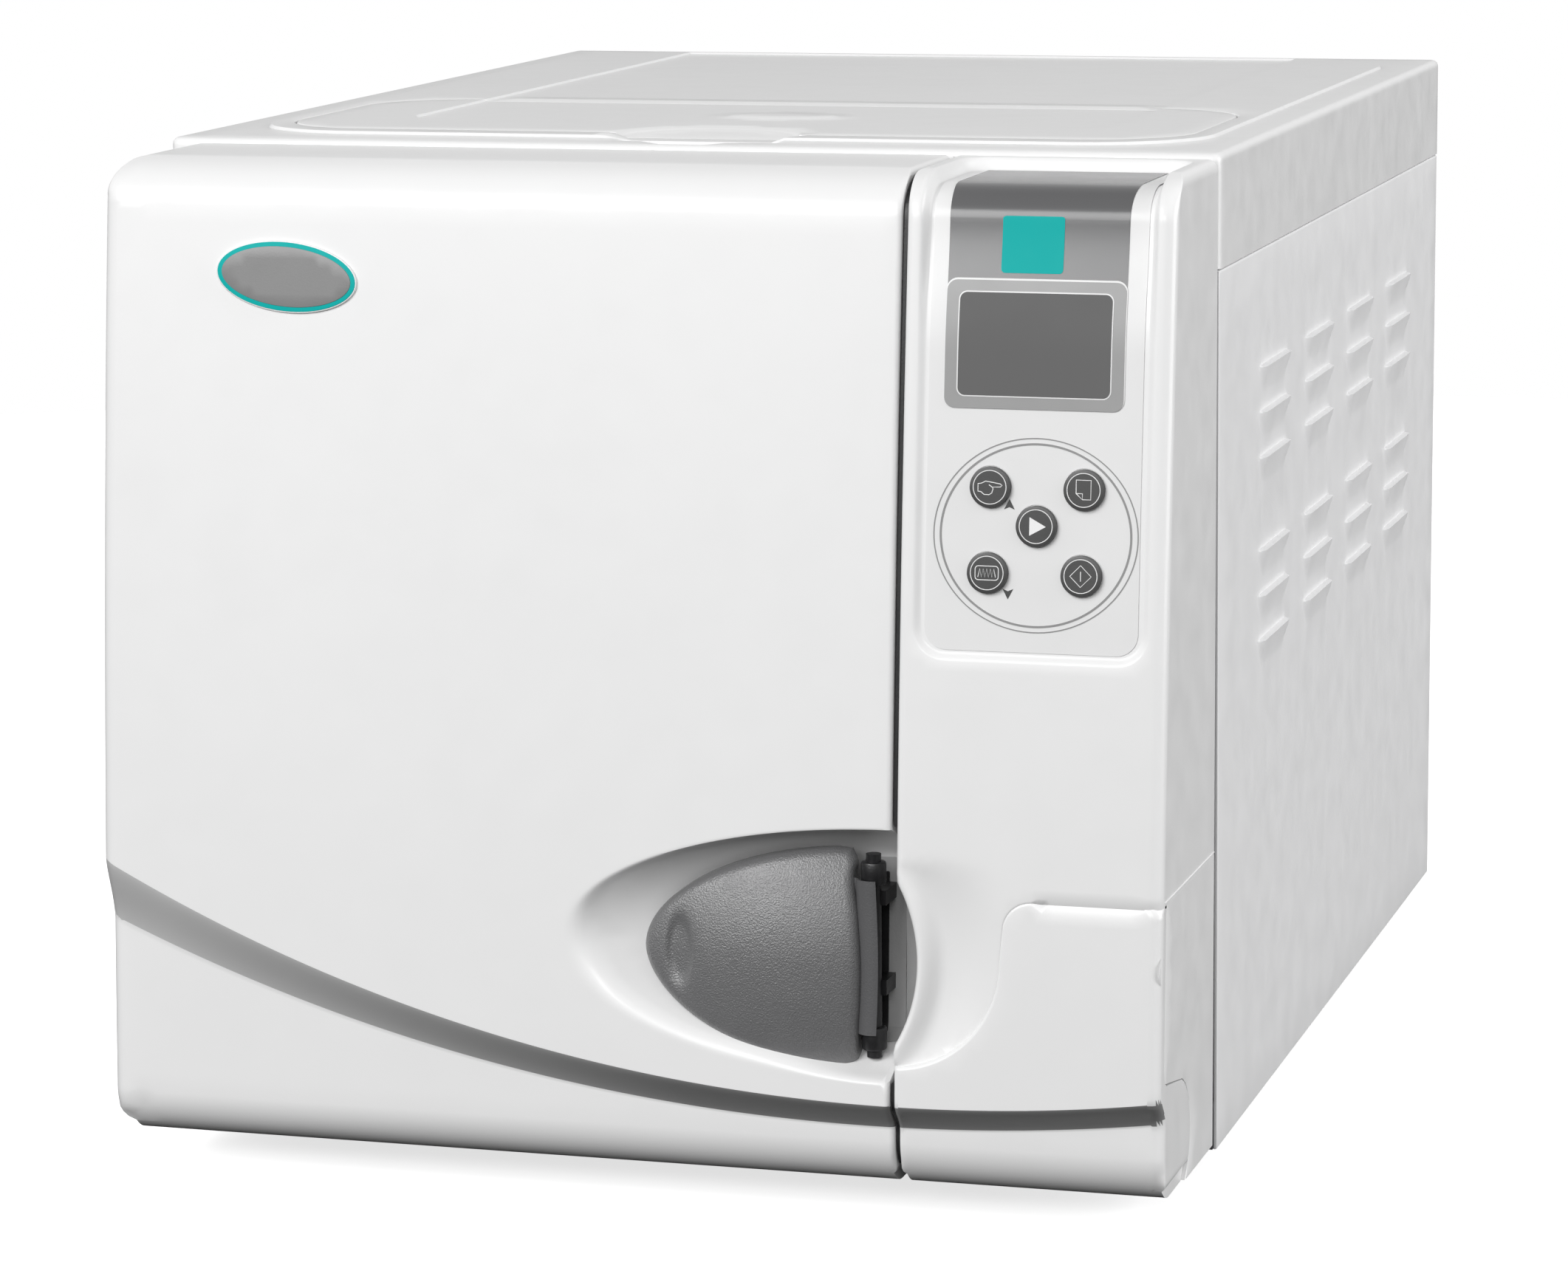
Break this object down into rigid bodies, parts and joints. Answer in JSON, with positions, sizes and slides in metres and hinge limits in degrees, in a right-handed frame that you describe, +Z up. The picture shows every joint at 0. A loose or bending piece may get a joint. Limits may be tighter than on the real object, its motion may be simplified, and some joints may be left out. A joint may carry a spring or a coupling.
{
  "type": "benchtop autoclave",
  "caption": "Benchtop steam steriliser: housing with louvred sides, hinged front door with pull handle over a round chamber, control column, drain flap, tank lid.",
  "frame": {"origin": "on the bench, under the middle of the whole object's box", "axes": "+Z up, +Y from the door to the rear, +X to the right as seen from the front"},
  "size_m": [0.453, 0.67, 0.42],
  "materials": {
    "cover_white": "satin",
    "panel_white": "satin",
    "frame_dark": "matt",
    "film_grey": "satin",
    "display_dark": "gloss",
    "board_green": "satin",
    "steel": "brushed",
    "zinc_steel": "galvanised",
    "jacket": "felted",
    "heater": "satin",
    "pump_black": "satin",
    "pump_blue": "satin",
    "brass": "satin",
    "copper": "satin",
    "fins": "satin",
    "tank_white": "translucent",
    "black_plastic": "satin",
    "rocker_red": "gloss",
    "rubber": "matt",
    "silicone": "satin",
    "handle_grey": "fine grain",
    "key_grey": "satin",
    "badge_grey": "gloss",
    "filter_white": "satin"
  },
  "bodies": {
    "root": {"base_tray": "zinc_steel", "feet": "rubber", "top_cover": "cover_white", "left_side_panel": "panel_white", "right_side_panel": "panel_white", "rear_panel": "panel_white", "front_frame": "frame_dark", "fascia_shell": "cover_white", "control_overlay": "film_grey", "display_module": "display_dark", "control_board": "board_green", "chamber": "steel", "chamber_flange": "steel", "insulation_jacket": "jacket", "band_heater": "heater", "tray_rack": "steel", "tray_lower": "steel", "tray_middle": "steel", "tray_upper": "steel", "steam_generator": "steel", "vacuum_pump": "pump_black", "water_pump": "pump_blue", "valve_block": "brass", "condenser": "fins", "fan_housing": "black_plastic", "clean_water_tank": "tank_white", "used_water_tank": "tank_white", "power_inlet": "black_plastic", "fuse_holders": "black_plastic", "safety_valve": "brass", "rear_ports": "brass", "bacteria_filter": "filter_white", "drain_couplings": "steel", "strike_plate": "zinc_steel", "lock_solenoid": "zinc_steel", "power_board": "board_green", "hinge_posts": "zinc_steel", "pipework": "copper"},
    "door": {"door_shell": "cover_white", "door_liner": "film_grey", "pressure_plate": "steel", "door_gasket": "silicone", "door_bridge": "zinc_steel", "adjust_nut": "brass", "hinge_arms": "zinc_steel", "door_badge": "badge_grey", "handle_bracket": "pump_black"},
    "handle": {"handle_lever": "handle_grey"},
    "latch": {"latch_hook": "pump_black"},
    "flap": {"service_flap": "cover_white"},
    "tank_lid": {"tank_lid": "cover_white"},
    "rocker": {"mains_rocker": "rocker_red"},
    "fan": {"fan_rotor": "black_plastic"},
    "lock_bolt": {"lock_bolt": "steel"},
    "valve_ring": {"safety_valve_ring": "steel"},
    "key_step": {"key_step": "key_grey"},
    "key_menu": {"key_menu": "key_grey"},
    "key_start": {"key_start": "key_grey"},
    "key_dry": {"key_dry": "key_grey"},
    "key_ok": {"key_ok": "key_grey"}
  },
  "joints": [
    {"name": "door_hinge", "type": "hinge", "parent": "root", "child": "door", "pos_m": [-0.208, -0.239, 0.225], "axis": [0, 0, -1], "range_deg": [0, 100]},
    {"name": "handle_pivot", "type": "hinge", "parent": "door", "child": "handle", "pos_m": [0.105, -0.32, 0.11], "axis": [0, 0, 1], "range_deg": [0, 90]},
    {"name": "latch_pivot", "type": "hinge", "parent": "door", "child": "latch", "pos_m": [0.104, -0.299, 0.11], "axis": [0, 0, 1], "range_deg": [0, 32]},
    {"name": "flap_hinge", "type": "hinge", "parent": "root", "child": "flap", "pos_m": [0.17, -0.3, 0.0365], "axis": [1, 0, 0], "range_deg": [0, 80]},
    {"name": "tank_lid_hinge", "type": "hinge", "parent": "root", "child": "tank_lid", "pos_m": [0, -0.025, 0.41875], "axis": [-1, 0, 0], "range_deg": [0, 80]},
    {"name": "mains_rocker_tilt", "type": "hinge", "parent": "root", "child": "rocker", "pos_m": [0.12, 0.312, 0.07], "axis": [1, 0, 0], "range_deg": [-18, 0]},
    {"name": "fan_spin", "type": "hinge", "parent": "root", "child": "fan", "pos_m": [0.165, 0.296, 0.29], "axis": [0, 1, 0], "continuous": true},
    {"name": "lock_bolt_slide", "type": "slide", "parent": "root", "child": "lock_bolt", "axis": [-1, 0, 0], "range_m": [0, 0.008], "stiffness_N_per_m": 150},
    {"name": "valve_ring_pull", "type": "slide", "parent": "root", "child": "valve_ring", "axis": [0, 1, 0], "range_m": [0, 0.002], "stiffness_N_per_m": 1500},
    {"name": "key_step_press", "type": "slide", "parent": "root", "child": "key_step", "axis": [0, 0.9962, -0.0872], "range_m": [0, 0.0005], "stiffness_N_per_m": 1500},
    {"name": "key_menu_press", "type": "slide", "parent": "root", "child": "key_menu", "axis": [0, 0.9962, -0.0872], "range_m": [0, 0.0005], "stiffness_N_per_m": 1500},
    {"name": "key_start_press", "type": "slide", "parent": "root", "child": "key_start", "axis": [0, 0.9962, -0.0872], "range_m": [0, 0.0005], "stiffness_N_per_m": 1500},
    {"name": "key_dry_press", "type": "slide", "parent": "root", "child": "key_dry", "axis": [0, 0.9962, -0.0872], "range_m": [0, 0.0005], "stiffness_N_per_m": 1500},
    {"name": "key_ok_press", "type": "slide", "parent": "root", "child": "key_ok", "axis": [0, 0.9962, -0.0872], "range_m": [0, 0.0005], "stiffness_N_per_m": 1500}
  ],
  "couplings": [
    {"joint": "latch_pivot", "follows": "handle_pivot", "ratio": 0.35}
  ]
}
